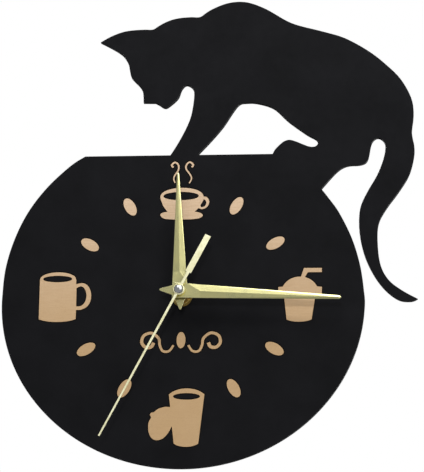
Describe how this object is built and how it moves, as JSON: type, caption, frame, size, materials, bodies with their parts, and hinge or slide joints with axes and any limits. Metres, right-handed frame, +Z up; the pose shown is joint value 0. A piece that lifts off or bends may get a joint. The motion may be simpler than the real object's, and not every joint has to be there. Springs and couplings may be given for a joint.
{
  "type": "wall clock",
  "caption": "Quartz wall clock: a flat black board cut as a cat lying on a round bowl dial with its tail hanging down, tan cup and bean hour marks and faceted gold hands.",
  "frame": {"origin": "point where the axis of the hands meets the wall plane, on the rear face of the movement case", "axes": "+Z up, front of the clock faces -Y, +X to the viewer's right; the tail hangs on +X"},
  "size_m": [0.2563, 0.0415, 0.3019],
  "materials": {
    "black_board": "matte black painted fibreboard",
    "tan_inlay": "matte tan veneer",
    "gold": "satin pale gold anodising",
    "brass": "turned brass",
    "rubber": "matte",
    "black_plastic": "fine spark-eroded texture",
    "white_plastic": "natural acetal",
    "copper_wire": "enamelled copper winding",
    "steel": "satin zinc plated",
    "green_board": "solder mask",
    "chip_resin": "potting resin",
    "nickel": "polished nickel",
    "magnet": "sintered ferrite",
    "cell_sleeve": "printed film over a steel can"
  },
  "bodies": {
    "clock_body": {"front_plate": "black_board", "marker_12_teacup": "tan_inlay", "steam_curl_left": "tan_inlay", "steam_curl_right": "tan_inlay", "marker_03_takeaway_cup": "tan_inlay", "marker_06_tumbler": "tan_inlay", "marker_09_mug": "tan_inlay", "marker_01_bean": "tan_inlay", "marker_02_bean": "tan_inlay", "marker_04_bean": "tan_inlay", "marker_05_bean": "tan_inlay", "marker_07_bean": "tan_inlay", "marker_08_bean": "tan_inlay", "marker_10_bean": "tan_inlay", "marker_11_bean": "tan_inlay", "dial_scroll_left": "tan_inlay", "dial_scroll_right": "tan_inlay", "dial_bean": "tan_inlay", "fixing_nut": "brass", "brass_washer": "brass", "rubber_gasket": "rubber", "threaded_bush": "brass", "movement_rear_case": "black_plastic", "movement_front_cover": "black_plastic", "train_bridge": "white_plastic", "coil_bobbin": "white_plastic", "coil_winding": "copper_wire", "coil_core": "steel", "stator": "steel", "circuit_board": "green_board", "chip_blob": "chip_resin", "crystal_can": "nickel", "battery_contact_positive": "nickel", "battery_contact_negative": "nickel", "sawtooth_hanger": "steel", "hanger_screw_left": "steel", "hanger_screw_right": "steel"},
    "second_hand_group": {"second_wheel": "white_plastic", "second_hand_tube": "brass", "second_hand": "gold", "second_hand_cap": "nickel"},
    "minute_hand_group": {"minute_wheel": "white_plastic", "minute_collet": "brass", "minute_hand": "gold"},
    "hour_hand_group": {"hour_wheel": "white_plastic", "hour_collet": "brass", "hour_hand": "gold"},
    "motor_rotor": {"rotor": "magnet"},
    "intermediate_gear": {"intermediate_wheel": "white_plastic"},
    "third_gear": {"third_wheel": "white_plastic"},
    "motion_gear": {"motion_wheel": "white_plastic"},
    "knob": {"setting_knob": "white_plastic"},
    "battery": {"aa_battery": "cell_sleeve"}
  },
  "joints": [
    {"name": "second_hand_turn", "type": "hinge", "parent": "clock_body", "child": "second_hand_group", "pos_m": [0, -0.02, 0], "axis": [0, 1, 0], "continuous": true},
    {"name": "minute_hand_turn", "type": "hinge", "parent": "clock_body", "child": "minute_hand_group", "pos_m": [0, -0.02, 0], "axis": [0, 1, 0], "continuous": true},
    {"name": "hour_hand_turn", "type": "hinge", "parent": "clock_body", "child": "hour_hand_group", "pos_m": [0, -0.02, 0], "axis": [0, 1, 0], "continuous": true},
    {"name": "rotor_spin", "type": "hinge", "parent": "clock_body", "child": "motor_rotor", "pos_m": [-0.01251, -0.005, 0.01159], "axis": [0, 1, 0], "continuous": true},
    {"name": "intermediate_spin", "type": "hinge", "parent": "clock_body", "child": "intermediate_gear", "pos_m": [-0.00873, -0.005, 0.00504], "axis": [0, 1, 0], "continuous": true},
    {"name": "third_spin", "type": "hinge", "parent": "clock_body", "child": "third_gear", "pos_m": [0.0051, -0.005, 0.00883], "axis": [0, 1, 0], "continuous": true},
    {"name": "motion_spin", "type": "hinge", "parent": "clock_body", "child": "motion_gear", "pos_m": [0.00752, -0.009, -0.00274], "axis": [0, 1, 0], "continuous": true},
    {"name": "setting_knob_turn", "type": "hinge", "parent": "clock_body", "child": "knob", "pos_m": [0.01597, -0.005, 0.00034], "axis": [0, 1, 0], "continuous": true},
    {"name": "battery_slide", "type": "slide", "parent": "clock_body", "child": "battery", "axis": [0, 1, 0], "range_m": [0, 0.018]}
  ],
  "couplings": [
    {"joint": "minute_hand_turn", "follows": "second_hand_turn", "ratio": 0.016667},
    {"joint": "hour_hand_turn", "follows": "second_hand_turn", "ratio": 0.0013889},
    {"joint": "rotor_spin", "follows": "second_hand_turn", "ratio": 30},
    {"joint": "intermediate_spin", "follows": "second_hand_turn", "ratio": -5},
    {"joint": "third_spin", "follows": "second_hand_turn", "ratio": -0.125},
    {"joint": "motion_spin", "follows": "second_hand_turn", "ratio": -0.0055556},
    {"joint": "setting_knob_turn", "follows": "second_hand_turn", "ratio": 0.011111}
  ]
}
